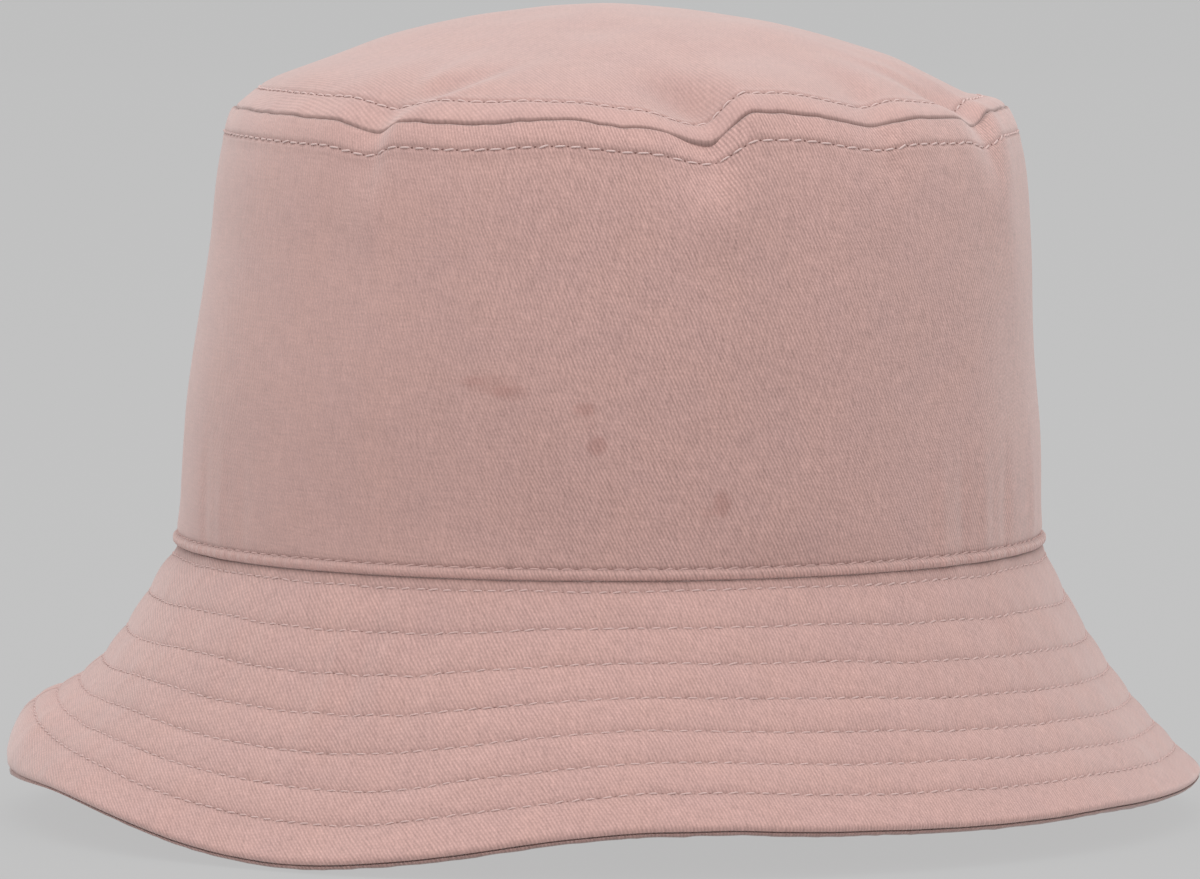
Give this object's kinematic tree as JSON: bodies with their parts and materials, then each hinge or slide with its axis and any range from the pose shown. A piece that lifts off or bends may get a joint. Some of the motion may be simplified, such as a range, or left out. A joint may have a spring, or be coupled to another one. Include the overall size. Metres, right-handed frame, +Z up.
{
  "type": "bucket hat",
  "caption": "Twill bucket hat with an oval domed tip, panelled side and a wavy down-sloping brim quilted with stitch rows.",
  "frame": {"origin": "on the surface that the brim stands on, under the middle of the hat", "axes": "+Z up, the front of the hat faces -Y, +Y is the longer way of the oval, +X to the right seen from the front"},
  "size_m": [0.2502, 0.2668, 0.1704],
  "materials": {
    "twill": "washed cotton twill, dusty pink, matt with a soft bloom",
    "under_twill": "the same twill, under the brim",
    "band_twill": "the same twill, cut as a sweatband",
    "interlining": "stiff non-woven interlining, off-white",
    "seam_tape": "plain woven cotton tape, pale dusty pink",
    "label_satin": "woven satin, cream, blank",
    "thread": "spun polyester thread, a shade lighter than the cloth"
  },
  "bodies": {
    "hat": {"crown_tip": "twill", "side_panel_front": "twill", "side_panel_back": "twill", "brim_upper_front": "twill", "brim_upper_back": "twill", "brim_under_front": "under_twill", "brim_under_back": "under_twill", "brim_interlining_front": "interlining", "brim_interlining_back": "interlining", "sweatband": "band_twill", "sweatband_interlining": "interlining", "tip_seam_tape": "seam_tape", "side_seam_tape_left": "seam_tape", "side_seam_tape_right": "seam_tape", "main_label": "label_satin", "tip_stitch_upper": "thread", "tip_stitch_lower": "thread", "base_stitch": "thread", "brim_stitch_1": "thread", "brim_stitch_2": "thread", "brim_stitch_3": "thread", "brim_stitch_4": "thread", "brim_stitch_5": "thread", "brim_stitch_6": "thread", "brim_stitch_7": "thread"},
    "care_label": {"care_label": "label_satin"}
  },
  "joints": [
    {"name": "care_label_flap", "type": "hinge", "parent": "hat", "child": "care_label", "pos_m": [-0.08188, 0, 0.08806], "axis": [0, -1, 0], "range_deg": [-3, 155]}
  ]
}
